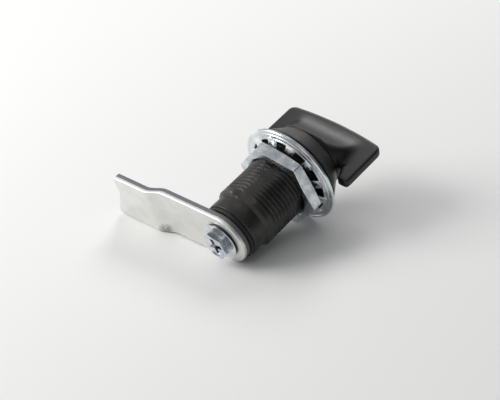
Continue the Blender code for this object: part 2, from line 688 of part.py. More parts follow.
def stop_ring():
    """Ring on the square, with the lug that stops the turn at each end of the housing's notch."""
    top = STOP_RING_FRONT
    bottom = top - STOP_RING_THICKNESS
    outer = STOP_RING_DIAMETER / 2
    obj = rod("stop_ring", outer, bottom, top, FINE)
    as_part(obj, TURNING, (0.02, 0.02, 0.02), 0.5, 0.0)
    boolean(obj, "DIFFERENCE", square_hole("cut_stop_square", bottom, top))
    lug = sector("join_stop_lug", REAR_RECESS_DIAMETER / 2 + GAP, outer - GAP / 2,
                 bottom + STOP_RING_THICKNESS / 2, top + STOP_LUG_HEIGHT,
                 STOP_LUG_PLACE - STOP_LUG_ANGLE / 2, STOP_LUG_PLACE + STOP_LUG_ANGLE / 2)
    boolean(obj, "UNION", as_cutter(lug, TURNING))
    return obj


def cam():
    """Cranked flat cam with a round root and a square hole."""
    half = CAM_WIDTH / 2
    far = CAM_REACH + half
    low = CAM_FACE - CRANK
    side = [
        (-far, CAM_BACK), (-far, CAM_FACE), (CRANK_START, CAM_FACE), (CRANK_END, low), (far, low),
        (far, low + CAM_THICKNESS), (CRANK_END, low + CAM_THICKNESS), (CRANK_START, CAM_BACK),
    ]
    obj = plate("cam", side, 2 * CAM_WIDTH)
    as_part(obj, TURNING, (0.78, 0.79, 0.78), 0.3, 1.0)
    obj.rotation_euler.x = math.radians(90)
    plan = rounded([
        (CAM_REACH - CAM_TIP_SLANT, half, CAM_TIP_ROUND), (0.0, half, 0.0),
    ] + [(x, y, 0.0) for x, y in arc((0.0, 0.0), half, 96.0, 264.0, 28)] + [
        (0.0, -half, 0.0), (CAM_REACH, -half, CAM_TIP_ROUND),
        (CAM_REACH - CAM_TIP_SLANT, half - CAM_TIP_SQUARE, 2 * CAM_TIP_ROUND),
    ])
    outline = plate("keep_cam_outline", plan, 6 * CAM_THICKNESS + 2 * CRANK)
    outline.location.z = CAM_FACE
    boolean(obj, "INTERSECT", as_cutter(outline, TURNING))
    boolean(obj, "DIFFERENCE", square_hole("cut_cam_square", CAM_FACE, CAM_BACK))
    return obj


def lock_washer():
    """Split spring washer under the bolt."""
    bottom = LOCK_WASHER_FRONT - LOCK_WASHER_THICKNESS
    obj = ring("lock_washer", BOLT_DIAMETER / 2 + GAP, LOCK_WASHER_DIAMETER / 2, bottom,
               LOCK_WASHER_FRONT, MEDIUM)
    as_part(obj, TURNING, (0.3, 0.31, 0.33), 0.35, 1.0)
    split = block("cut_washer_split", (LOCK_WASHER_DIAMETER, 2 * GAP, 3 * LOCK_WASHER_THICKNESS),
                  (0.0, -LOCK_WASHER_DIAMETER / 2, (bottom + LOCK_WASHER_FRONT) / 2), 70.0)
    boolean(obj, "DIFFERENCE", as_cutter(split, TURNING))
    return obj


def cam_bolt():
    """Hexagon washer-head bolt with a cross recess, screwed into the spindle's end."""
    shank = BOLT_DIAMETER / 2
    flange = BOLT_FLANGE_DIAMETER / 2
    corner = BOLT_ACROSS_FLATS / 2 / math.cos(math.radians(30))
    face = BOLT_SEAT - BOLT_FLANGE_THICKNESS
    tip = BOLT_SEAT + BOLT_LENGTH
    end = face - BOLT_HEX_HEIGHT
    obj = turned("cam_bolt", [
        (0.0, tip), (shank - 2 * GAP, tip), (shank, tip - 2 * GAP), (shank, BOLT_SEAT),
        (flange, BOLT_SEAT), (flange, face + BOLT_FLANGE_THICKNESS / 2), (corner, face), (0.0, face),
    ], MEDIUM, closed=False)
    as_part(obj, TURNING, (0.7, 0.73, 0.76), 0.2, 1.0)
    head = rod("join_bolt_hex", corner, end, face + BOLT_FLANGE_THICKNESS / 2, 6, angle=BOLT_ANGLE)
    crown = turned("keep_bolt_crown", [
        (0.0, end), (0.9 * BOLT_ACROSS_FLATS / 2, end), (corner, end + 0.9 * MM), (corner, BOLT_SEAT),
        (0.0, BOLT_SEAT),
    ][::-1], COARSE, closed=False)
    boolean(as_cutter(head, TURNING), "INTERSECT", as_cutter(crown, TURNING))
    boolean(obj, "UNION", head)
    for i in range(2):
        slot = block(f"cut_bolt_slot_{i + 1}", (RECESS_LENGTH, RECESS_WIDTH, 2 * RECESS_DEPTH),
                     (0.0, 0.0, end), BOLT_ANGLE + 90.0 * i)
        boolean(obj, "DIFFERENCE", as_cutter(slot, TURNING))
    return obj


def stand_on_origin():
    """Shift the lock so that the world origin is at the middle of its lowest level."""
    bpy.context.view_layer.update()
    graph = bpy.context.evaluated_depsgraph_get()
    points = []
    for obj in PARTS.objects:
        if obj.type == "MESH":
            solid = obj.evaluated_get(graph)
            points += [solid.matrix_world @ vert.co for vert in solid.data.vertices]
    low = [min(point[axis] for point in points) for axis in range(3)]
    high = [max(point[axis] for point in points) for axis in range(3)]
    LYING.location.x -= (low[0] + high[0]) / 2
    LYING.location.y -= (low[1] + high[1]) / 2
    LYING.location.z -= low[2]


def main():
    """Build the lock, lay it down and put the origin under its middle."""
    LYING.rotation_euler = (math.pi / 2 - LEAN, 0.0, math.pi)
    TURNING.rotation_euler.z = ROLL
    for build in (housing, flange_gasket, thrust_washer, detent_balls, detent_springs, tooth_washer,
                  hex_nut, wing_knob, spindle, o_rings, wave_washer, retaining_ring, stop_ring, cam,
                  lock_washer, cam_bolt):
        build()
    stand_on_origin()


clear_scene()
PARTS = new_collection("cam_lock")
CUTTERS = new_collection("cutters")
LYING = new_empty("lying_pose", None)
TURNING = new_empty("turning_axis", LYING)
main()
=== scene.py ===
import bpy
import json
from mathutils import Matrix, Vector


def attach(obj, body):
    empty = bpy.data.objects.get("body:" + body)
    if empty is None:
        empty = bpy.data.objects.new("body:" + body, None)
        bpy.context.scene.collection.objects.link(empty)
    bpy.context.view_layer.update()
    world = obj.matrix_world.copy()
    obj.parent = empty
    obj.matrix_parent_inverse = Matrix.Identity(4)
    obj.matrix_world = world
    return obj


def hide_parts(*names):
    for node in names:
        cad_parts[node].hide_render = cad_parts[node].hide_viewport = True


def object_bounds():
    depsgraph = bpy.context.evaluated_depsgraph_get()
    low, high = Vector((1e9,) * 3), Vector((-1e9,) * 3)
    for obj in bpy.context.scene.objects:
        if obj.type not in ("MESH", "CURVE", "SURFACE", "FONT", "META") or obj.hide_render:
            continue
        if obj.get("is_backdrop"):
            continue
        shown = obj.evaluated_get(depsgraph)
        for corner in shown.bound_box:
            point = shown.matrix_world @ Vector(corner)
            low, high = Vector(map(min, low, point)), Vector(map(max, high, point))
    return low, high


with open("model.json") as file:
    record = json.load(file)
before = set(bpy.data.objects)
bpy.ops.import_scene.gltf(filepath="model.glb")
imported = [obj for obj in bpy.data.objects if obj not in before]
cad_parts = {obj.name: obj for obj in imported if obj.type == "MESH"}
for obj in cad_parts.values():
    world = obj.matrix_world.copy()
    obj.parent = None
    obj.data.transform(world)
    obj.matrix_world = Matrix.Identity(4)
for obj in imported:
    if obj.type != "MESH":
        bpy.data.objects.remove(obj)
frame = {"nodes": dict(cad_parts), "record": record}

"""A quarter-turn cam latch lying on a pale table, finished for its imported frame.

Each sub-assembly is a class that holds its sizes, builds its meshes with bmesh operators and dresses
them in procedural finishes. Lengths inside the classes are in metres in the latch's own frame: Z along
its turning axis towards the knob, X along the cam, and Z = 0 at the seat of the toothed washer.
"""
import json
import logging
import math
from dataclasses import dataclass, field
from enum import Enum
from functools import cache
from typing import Callable, Iterable, Sequence

import bmesh
import bpy
from mathutils import Euler, Matrix, Vector

MM = 0.001
CAM_ROLL = math.radians(1.0925)      # how far the cam lies from the latch's X axis
FLATS_TURN = math.radians(16.0)      # from X to the first flat on the barrel

log = logging.getLogger("cam_latch")


class Body(Enum):
    """The moving bodies of the latch."""

    BARREL = "barrel"
    TURNING = "turning"
    WASHER = "washer"
    NUT = "nut"


@dataclass(frozen=True)
class LatchFrame:
    """Where the latch lies: the place and the direction of its turning axis.

    Args:
        place: a point on the axis, at the seat of the toothed washer.
        axis: the axis towards the knob, one metre long.
    """

    place: Vector
    axis: Vector

    def matrix(self, turn: float = 0.0) -> Matrix:
        """The move from the latch's own frame to the table.

        Args:
            turn: a further turn about the axis, in radians.

        Returns:
            A rigid 4 x 4 matrix.
        """
        x = Vector((-1.0, 0.0, 0.0))
        z = self.axis.normalized()
        y = z.cross(x)
        turned = Matrix((x, y, z)).transposed().to_4x4()
        return Matrix.Translation(self.place) @ turned @ Matrix.Rotation(turn, 4, "Z")


def latch_frame() -> LatchFrame:
    """The latch's place, read from the knob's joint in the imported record."""
    joint = next(j for j in frame["record"]["behaviour"]["joints"] if j["name"] == "knob_turn")
    return LatchFrame(Vector(joint["pos_m"]), Vector(joint["axis"]))


LATCH = latch_frame()


class Signal:
    """A node's output that builds Math nodes when it is used in an expression."""

    def __init__(self, graph: "Graph", socket: bpy.types.NodeSocket) -> None:
        """Keeps the graph and the socket it speaks for."""
        self.graph = graph
        self.socket = socket

    def __add__(self, other: "Signal | float") -> "Signal":
        """self + other."""
        return self.graph.math("ADD", self, other)

    def __radd__(self, other: float) -> "Signal":
        """other + self."""
        return self.graph.math("ADD", other, self)

    def __sub__(self, other: "Signal | float") -> "Signal":
        """self - other."""
        return self.graph.math("SUBTRACT", self, other)

    def __rsub__(self, other: float) -> "Signal":
        """other - self."""
        return self.graph.math("SUBTRACT", other, self)

    def __mul__(self, other: "Signal | float") -> "Signal":
        """self * other."""
        return self.graph.math("MULTIPLY", self, other)

    def __rmul__(self, other: float) -> "Signal":
        """other * self."""
        return self.graph.math("MULTIPLY", other, self)

    def __truediv__(self, other: "Signal | float") -> "Signal":
        """self / other."""
        return self.graph.math("DIVIDE", self, other)

    def __pow__(self, power: float) -> "Signal":
        """self to a power."""
        return self.graph.math("POWER", self, power)

    def size(self) -> "Signal":
        """The value without its sign."""
        return self.graph.math("ABSOLUTE", self)

    def sine(self) -> "Signal":
        """The sine of the value, in radians."""
        return self.graph.math("SINE", self)

    def step(self, low: float, high: float, out: tuple[float, float] = (0.0, 1.0)) -> "Signal":
        """A smooth step from out[0] at low to out[1] at high."""
        return self.graph.node(
            "ShaderNodeMapRange", {"interpolation_type": "SMOOTHSTEP"},
            {"Value": self, "From Min": low, "From Max": high, "To Min": out[0], "To Max": out[1]})


class Graph:
    """A material's node tree with one way to make any node."""

    def __init__(self, name: str) -> None:
        """Starts an empty node material of that name."""
        self.material = bpy.data.materials.new(name)
        self.material.use_nodes = True
        self.tree = self.material.node_tree
        self.tree.nodes.clear()
        self.count = 0

    def node(self, kind: str, settings: dict | None = None, inputs: dict | None = None,
             output: int | str = 0) -> Signal:
        """Makes one node.

        Args:
            kind: the node's type name.
            settings: its properties, and "stops" for a colour ramp.
            inputs: a value or a Signal for each socket, by name or number.
            output: the output socket to hand back.

        Returns:
            The output as a Signal.
        """
        made = self.tree.nodes.new(kind)
        made.location = (180.0 * (self.count % 9), -220.0 * (self.count // 9))
        self.count += 1
        for key, value in (settings or {}).items():
            if key == "stops":
                self._stops(made.color_ramp, value)
            else:
                setattr(made, key, value)
        for key, value in (inputs or {}).items():
            if isinstance(value, Signal):
                self.tree.links.new(value.socket, made.inputs[key])
            else:
                made.inputs[key].default_value = value
        return Signal(self, made.outputs[output])

    @staticmethod
    def _stops(ramp: bpy.types.ColorRamp, stops: Sequence[tuple[float, tuple]]) -> None:
        """Sets a colour ramp's stops."""
        while len(ramp.elements) < len(stops):
            ramp.elements.new(1.0)
        for element, (place, colour) in zip(ramp.elements, stops):
            element.position = place
            element.color = colour

    def math(self, operation: str, *values: "Signal | float") -> Signal:
        """A Math node on values and Signals."""
        return self.node("ShaderNodeMath", {"operation": operation}, dict(enumerate(values)))

    def mix(self, factor: "Signal | float", low: "Signal | tuple", high: "Signal | tuple") -> Signal:
        """A colour between two others."""
        return self.node("ShaderNodeMix", {"data_type": "RGBA"}, {0: factor, 6: low, 7: high}, 2)

    def place(self, turn: float = 0.0, stretch: tuple = (1.0, 1.0, 1.0)) -> Signal:
        """Object coordinates in the latch's own frame, in millimetres along its axes.

        Args:
            turn: a further turn about the latch's axis.
            stretch: how much closer a pattern repeats along each axis.

        Returns:
            A vector Signal.
        """
        here = self.node("ShaderNodeTexCoord", output="Object")
        own = LATCH.matrix(turn)
        local = self.node("ShaderNodeMapping", {"vector_type": "TEXTURE"}, {
            "Vector": here, "Location": own.translation, "Rotation": own.to_euler()})
        return self.node("ShaderNodeMapping", {}, {
            "Vector": local, "Scale": tuple(1000.0 * s for s in stretch)})

    def across_axis(self) -> Signal:
        """How far a surface turns away from the latch's axis: 0 for an end face, 1 for a side."""
        normal = self.node("ShaderNodeNewGeometry", output="Normal")
        level = self.node("ShaderNodeVectorMath", {"operation": "DOT_PRODUCT"},
                          {0: normal, 1: tuple(LATCH.axis)}, 1)
        return 1.0 - level.size()

    def parts(self, vector: Signal) -> tuple[Signal, Signal, Signal]:
        """The three numbers of a vector."""
        split = self.tree.nodes.new("ShaderNodeSeparateXYZ")
        self.tree.links.new(vector.socket, split.inputs[0])
        return tuple(Signal(self, split.outputs[i]) for i in range(3))

    def noise(self, vector: Signal, scale: float, detail: float = 3.0, roughness: float = 0.55) -> Signal:
        """Soft random variation from 0 to 1."""
        return self.node("ShaderNodeTexNoise", {}, {
            "Vector": vector, "Scale": scale, "Detail": detail, "Roughness": roughness})

    def cells(self, vector: Signal, scale: float) -> Signal:
        """Distance to the nearest of a scatter of points."""
        return self.node("ShaderNodeTexVoronoi", {}, {"Vector": vector, "Scale": scale})

    def bump(self, height: Signal, depth: float, strength: float = 1.0) -> Signal:
        """A normal from a height pattern, depth in metres."""
        return self.node("ShaderNodeBump", {}, {"Height": height, "Distance": depth,
                                                "Strength": strength})

    def surface(self, **inputs: "Signal | float | tuple") -> bpy.types.Material:
        """Closes the tree with a Principled shader, whose sockets are named with underscores."""
        named = {key.replace("_", " "): value for key, value in inputs.items()}
        shader = self.node("ShaderNodeBsdfPrincipled", {}, named)
        end = self.tree.nodes.new("ShaderNodeOutputMaterial")
        self.tree.links.new(shader.socket, end.inputs["Surface"])
        return self.material


@dataclass(frozen=True)
class MouldedPlastic:
    """Satin moulded plastic with a fine spark-eroded grain and faint flow marks.

    Args:
        name: the material's name.
        colour: its base colour.
        pale: the colour of rubbed places.
        roughness: the mean roughness.
        grain: the grain's height in metres.
        streaks: how strongly fine turned lines show round the axis.
    """

    name: str
    colour: tuple
    pale: tuple
    roughness: float = 0.42
    grain: float = 0.00001
    streaks: float = 0.0

    def material(self) -> bpy.types.Material:
        """Builds the node material."""
        g = Graph(self.name)
        here = g.place()
        broad = g.noise(here, 0.16, 3.0)
        fine = g.noise(here, 7.0, 4.0, 0.6)
        lines = g.noise(g.place(stretch=(0.10, 0.10, 4.0)), 1.0, 5.0, 0.7)
        dust = g.cells(here, 1.1).step(0.10, 0.02) * broad.step(0.50, 0.66)
        rubbed = broad.step(0.35, 0.8) * 0.45 + dust * 0.06
        rubbed = rubbed + lines.step(0.56, 0.78) * self.streaks
        colour = g.mix(rubbed, self.colour, self.pale)
        height = fine * 0.6 + lines * (1.5 * self.streaks) + broad * 0.4
        rough = broad * 0.12 + fine * 0.08 + lines * (0.12 * self.streaks) + (self.roughness - 0.10)
        return g.surface(Base_Color=colour, Roughness=rough, Normal=g.bump(height, self.grain),
                         IOR=1.48, Specular_IOR_Level=0.5)


@dataclass(frozen=True)
class PlatedSteel:
    """Zinc-plated steel: soft mottling, fine lines, and a faint tint that comes and goes.

    Args:
        name: the material's name.
        colour: the plating's colour.
        tint: the colour it drifts to in patches.
        dull: the colour in scuffs and pits.
        roughness: the mean roughness.
        lines: how strongly the turned or rolled lines show.
        line_stretch: how the lines run, as a stretch along each of the latch's axes.
        flats: how strongly shade is painted, in patches, on the faces along the axis, so that they read
            darker than those across it.
    """

    name: str
    colour: tuple
    tint: tuple
    dull: tuple
    roughness: float = 0.28
    lines: float = 0.4
    line_stretch: tuple = (0.15, 0.15, 3.0)
    flats: float = 0.0

    def layers(self, g: Graph) -> tuple[Signal, Signal, Signal]:
        """The plating's colour, roughness and height.

        Args:
            g: the graph to build them in.

        Returns:
            Three Signals.
        """
        here = g.place()
        patch = g.noise(here, 0.22, 4.0, 0.6)
        fine = g.noise(here, 3.2, 5.0, 0.65)
        drawn = g.noise(g.place(stretch=self.line_stretch), 1.3, 4.0, 0.6)
        pits = g.cells(here, 0.9).step(0.12, 0.04) * patch.step(0.54, 0.62)
        colour = g.mix(patch.step(0.38, 0.68), self.colour, self.tint)
        scuffs = drawn.step(0.60, 0.80) * self.lines + pits * 0.4 + fine.step(0.60, 0.85) * 0.2
        colour = g.mix(scuffs, colour, self.dull)
        # painted shade: faces along the axis are darkened, in patches, to stand for the darker reflections
        # they show
        if self.flats:
            side = g.across_axis().step(0.55, 0.85) * patch.step(0.30, 0.55) * self.flats
            colour = g.mix(side, colour, tuple(0.35 * part for part in self.dull[:3]) + (1.0,))
        rough = patch * 0.14 + fine * 0.10 + drawn * (0.20 * self.lines) + pits * 0.2
        rough = rough + (self.roughness - 0.15)
        height = fine * 0.5 + drawn * self.lines - pits * 0.5
        return colour, rough, height

    def material(self) -> bpy.types.Material:
        """Builds the node material."""
        g = Graph(self.name)
        colour, rough, height = self.layers(g)
        return g.surface(Base_Color=colour, Roughness=rough, Metallic=1.0,
                         Normal=g.bump(height, 0.000006))


@dataclass(frozen=True)
class ShearedPlate(PlatedSteel):
    """Plated sheet whose cut edges are bright near the punch side and torn dark behind it, with a patch of
    painted shade at the bend.

    Args:
        face: the height of the outer face at the cam's root.
        crank: how far the tip is set off from the root.
        bend: where the crank starts and ends along the cam.
        shear: how deep the bright part of the cut edge is.
        shade_patch_place: the place of a patch of painted shade on the face at the bend's lower edge.
    """

    face: float = 0.0
    crank: float = 0.0
    bend: tuple = (0.0, 1.0)
    shear: float = 1.0
    shade_patch_place: tuple = (0.0, 0.0)

    def material(self) -> bpy.types.Material:
        """Builds the node material."""
        g = Graph(self.name)
        colour, rough, height = self.layers(g)
        x, y, z = g.parts(g.place(CAM_ROLL))
        face = x.step(self.bend[0], self.bend[1], (self.face, self.face - self.crank))
        depth = z - face
        wall = g.across_axis().step(0.25, 0.65)
        ragged = g.noise(g.place(CAM_ROLL, (1.0, 1.0, 0.3)), 1.6, 3.0)
        torn = (depth + ragged * 0.5).step(self.shear, self.shear + 0.35) * wall
        colour = g.mix(torn * 0.9, colour, (0.13, 0.13, 0.15, 1.0))
        # painted shade: a dark patch on the face at the bend's lower edge, where the rounded edge lies in
        # shade
        along = (x - self.shade_patch_place[0]) * 0.30 + (y - self.shade_patch_place[1]) * 0.10
        across = (y - self.shade_patch_place[1]) * 0.24
        shade_patch = (along * along + across * across).step(1.0, 0.0) * ragged.step(0.25, 0.6)
        shade_patch = shade_patch * depth.step(1.6, 0.8)
        colour = g.mix(shade_patch * 0.75, colour, (0.16, 0.18, 0.16, 1.0))
        rough = rough + torn * 0.25 + shade_patch * 0.1
        metal = 1.0 - torn * 0.3
        return g.surface(Base_Color=colour, Roughness=rough, Metallic=metal,
                         Normal=g.bump(height + torn * ragged * 2.0, 0.00002))


@dataclass(frozen=True)
class Rubber:
    """Matt black sealing rubber.

    Args:
        name: the material's name.
        colour: its base colour.
    """

    name: str
    colour: tuple = (0.012, 0.012, 0.012, 1.0)

    def material(self) -> bpy.types.Material:
        """Builds the node material."""
        g = Graph(self.name)
        here = g.place()
        fine = g.noise(here, 5.0, 4.0, 0.6)
        bloom = g.noise(here, 0.4, 2.0).step(0.45, 0.75)
        colour = g.mix(bloom * 0.4, self.colour, (0.03, 0.03, 0.03, 1.0))
        return g.surface(Base_Color=colour, Roughness=bloom * 0.1 + fine * 0.1 + 0.68,
                         Normal=g.bump(fine, 0.00001))


@dataclass(frozen=True)
class CastDisc:
    """Rough black-finished disc with bright flecks where the coat is worn through.

    Args:
        name: the material's name.
    """

    name: str

    def material(self) -> bpy.types.Material:
        """Builds the node material."""
        g = Graph(self.name)
        here = g.place()
        lumps = g.noise(here, 2.4, 4.0, 0.65)
        flecks = g.cells(here, 1.9).step(0.20, 0.06) * lumps.step(0.48, 0.58)
        colour = g.mix(flecks * 0.8, (0.012, 0.011, 0.011, 1.0), (0.16, 0.15, 0.14, 1.0))
        return g.surface(Base_Color=colour, Roughness=0.62 - flecks * 0.25, Metallic=flecks * 0.7,
                         Normal=g.bump(lumps, 0.00009))


@cache
def node_material(finish: MouldedPlastic | PlatedSteel | Rubber | CastDisc) -> bpy.types.Material:
    """A finish's node material, built once.

    Args:
        finish: the finish.

    Returns:
        The material.
    """
    return finish.material()


class Finish(Enum):
    """Every finish on the latch, by its slot in the record."""

    BLACK_PLASTIC = MouldedPlastic("satin_black_knob", (0.0075, 0.0063, 0.0062, 1.0),
                                   (0.014, 0.0118, 0.0112, 1.0), 0.44)
    BARREL_PLASTIC = MouldedPlastic("matt_black_barrel", (0.012, 0.0106, 0.0099, 1.0),
                                    (0.085, 0.077, 0.071, 1.0), 0.33, 0.00006, 0.60)
    SLIP_PLASTIC = MouldedPlastic("natural_slip_plastic", (0.62, 0.60, 0.55, 1.0),
                                  (0.70, 0.68, 0.62, 1.0), 0.45)
    RUBBER = Rubber("sealing_rubber")
    BRIGHT_ZINC = PlatedSteel("bright_zinc_plating", (0.88, 0.90, 0.90, 1.0), (0.70, 0.75, 0.78, 1.0),
                              (0.42, 0.46, 0.46, 1.0), 0.24, 0.3)
    # the last number of the nut's and the bolt's plating is the painted shade on their side faces
    NUT_ZINC = PlatedSteel("mottled_zinc_plating", (0.84, 0.87, 0.88, 1.0), (0.58, 0.63, 0.70, 1.0),
                           (0.34, 0.38, 0.42, 1.0), 0.24, 0.5, (0.9, 0.9, 0.9), 0.25)
    BOLT_ZINC = PlatedSteel("bright_bolt_plating", (0.80, 0.83, 0.86, 1.0), (0.55, 0.60, 0.68, 1.0),
                            (0.30, 0.34, 0.40, 1.0), 0.16, 0.3, (0.9, 0.9, 0.9), 0.85)
    # the cam's last pair places its patch of painted shade at the bend
    CAM_ZINC = ShearedPlate("sheared_zinc_plate", (0.83, 0.83, 0.81, 1.0), (0.78, 0.79, 0.76, 1.0),
                            (0.62, 0.63, 0.59, 1.0), 0.46, 0.3, (0.25, 2.2, 0.25), 0.0,
                            -33.7, 2.2, (24.5, 31.5), 1.15, (29.0, -8.6))
    SPRING_STEEL = PlatedSteel("polished_spring_steel", (0.42, 0.42, 0.44, 1.0), (0.36, 0.36, 0.40, 1.0),
                               (0.20, 0.20, 0.21, 1.0), 0.30, 0.2)
    # dark steel: the retaining ring's own finish, and on the lock washer painted shade for the gap under
    # the bolt's flange
    DARK_STEEL = PlatedSteel("dark_steel_and_gap_shade", (0.05, 0.05, 0.055, 1.0), (0.07, 0.065, 0.06, 1.0),
                             (0.03, 0.03, 0.03, 1.0), 0.42, 0.3)
    STOP_DISC = CastDisc("black_stop_disc")

    @property
    def slot(self) -> str:
        """The record's slot that this finish belongs to."""
        special = {"NUT_ZINC": "bright_zinc", "BOLT_ZINC": "bright_zinc", "STOP_DISC": "black_plastic"}
        return special.get(self.name, self.name.lower())

    def material(self) -> bpy.types.Material:
        """The node material."""
        return node_material(self.value)


class Shape:
    """A mesh in the making, in the latch's own frame."""

    def __init__(self) -> None:
        """Starts an empty bmesh."""
        self.bm = bmesh.new()

    @classmethod
    def spun(cls, profile: Sequence[tuple[float, float]], steps: int, closed: bool = True) -> "Shape":
        """Spins a profile of (radius, height) points about the axis.

        Args:
            profile: the points, from the lowest inner one outwards.
            steps: how many segments the turn has.
            closed: True if the last point joins the first, False if both lie on the axis.

        Returns:
            The closed shape.
        """
        shape = cls()
        ring = [shape.bm.verts.new((r, 0.0, z)) for r, z in profile]
        ends = ring[1:] + ring[:1] if closed else ring[1:]
        edges = [shape.bm.edges.new(pair) for pair in zip(ring, ends)]
        bmesh.ops.spin(shape.bm, geom=ring + edges, cent=(0.0, 0.0, 0.0), axis=(0.0, 0.0, 1.0),
                       angle=math.tau, steps=steps, use_merge=True)
        bmesh.ops.remove_doubles(shape.bm, verts=shape.bm.verts, dist=1e-7)
        bmesh.ops.recalc_face_normals(shape.bm, faces=shape.bm.faces)
        return shape

    def reshape(self, rule: Callable[[float, float, float], tuple[float, float]]) -> "Shape":
        """Moves each vertex to the radius and height that a rule gives for its place.

        Args:
            rule: takes a radius, an angle and a height, and returns a radius and a height.

        Returns:
            The shape itself.
        """
        for vert in self.bm.verts:
            x, y, z = vert.co
            angle = math.atan2(y, x)
            radius, height = rule(math.hypot(x, y), angle, z)
            vert.co = (radius * math.cos(angle), radius * math.sin(angle), height)
        return self

    def block(self, size: tuple, matrix: Matrix, taper: float = 1.0) -> "Shape":
        """Adds a block.

        Args:
            size: its three sides.
            matrix: where it goes.
            taper: how much narrower its lower end is.

        Returns:
            The shape itself.
        """
        verts = bmesh.ops.create_cube(self.bm, size=1.0)["verts"]
        low = [v for v in verts if v.co.z < 0]
        bmesh.ops.scale(self.bm, vec=(taper, taper, 1.0), verts=low)
        bmesh.ops.scale(self.bm, vec=size, verts=verts)
        bmesh.ops.transform(self.bm, matrix=matrix, verts=verts)
        return self

    def cut(self, tool: "Shape") -> "Shape":
        """Takes another shape away from this one."""
        target = self.scratch("cut_target")
        other = tool.scratch("cut_tool")
        modifier = target.modifiers.new("cut", "BOOLEAN")
        modifier.operation = "DIFFERENCE"
        modifier.solver = "EXACT"
        modifier.object = other
        return self.settled(target, other)

    def scratch(self, name: str) -> bpy.types.Object:
        """A working object with this shape's mesh."""
        mesh = bpy.data.meshes.new(name)
        self.bm.to_mesh(mesh)
        self.bm.free()
        obj = bpy.data.objects.new(name, mesh)
        bpy.context.scene.collection.objects.link(obj)
        return obj

    def settled(self, obj: bpy.types.Object, *spare: bpy.types.Object) -> "Shape":
        """Takes in a working object's modifiers and removes it and any spare ones."""
        depsgraph = bpy.context.evaluated_depsgraph_get()
        mesh = bpy.data.meshes.new_from_object(obj.evaluated_get(depsgraph))
        self.bm = bmesh.new()
        self.bm.from_mesh(mesh)
        bpy.data.meshes.remove(mesh)
        for old in (obj, *spare):
            data = old.data
            bpy.data.objects.remove(old)
            bpy.data.meshes.remove(data)
        return self

    def finish(self, name: str, body: Body, look: Finish, stands_for: Iterable[str],
               turn: float = 0.0, sharp: float = 32.0) -> bpy.types.Object:
        """Puts the shape in its place as a finished piece.

        Args:
            name: the piece's name.
            body: the body it rides on.
            look: its finish.
            stands_for: the CAD nodes it replaces.
            turn: its turn about the latch's axis.
            sharp: edges sharper than this many degrees stay crisp.

        Returns:
            The piece.
        """
        bmesh.ops.transform(self.bm, matrix=LATCH.matrix(turn), verts=self.bm.verts)
        mesh = bpy.data.meshes.new(name)
        self.bm.to_mesh(mesh)
        self.bm.free()
        mesh.polygons.foreach_set("use_smooth", [True] * len(mesh.polygons))
        mesh.set_sharp_from_angle(angle=math.radians(sharp))
        mesh.materials.append(look.material())
        obj = bpy.data.objects.new(name, mesh)
        bpy.context.scene.collection.objects.link(obj)
        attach(obj, body.value)
        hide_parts(*stands_for)
        look.slot
        log.info("%s: %d faces on %s", name, len(mesh.polygons), body.value)
        return obj


def softened(node: str, turn: float, grain: float, passes: int, web: tuple) -> Shape:
    """A copy of a CAD solid with its facets and edges melted into a moulded surface.

    Args:
        node: the CAD node to copy.
        turn: its turn about the latch's axis.
        grain: the spacing of the new surface's points.
        passes: how often the surface is relaxed.
        web: the side, bottom and top of a block that thickens the solid inside.

    Returns:
        The shape in the latch's own frame.
    """
    shape = Shape()
    shape.bm.from_mesh(frame["nodes"][node].data)
    bmesh.ops.remove_doubles(shape.bm, verts=shape.bm.verts, dist=1e-6)
    bmesh.ops.transform(shape.bm, matrix=LATCH.matrix(turn).inverted(), verts=shape.bm.verts)
    side, bottom, top = web
    shape.block((side, side, top - bottom), Matrix.Translation((0.0, 0.0, (bottom + top) / 2)))
    obj = shape.scratch(f"melt_{node}")
    skin = obj.modifiers.new("skin", "REMESH")
    skin.mode = "VOXEL"
    skin.voxel_size = grain
    relax = obj.modifiers.new("relax", "SMOOTH")
    relax.factor = 0.5
    relax.iterations = passes
    return shape.settled(obj)


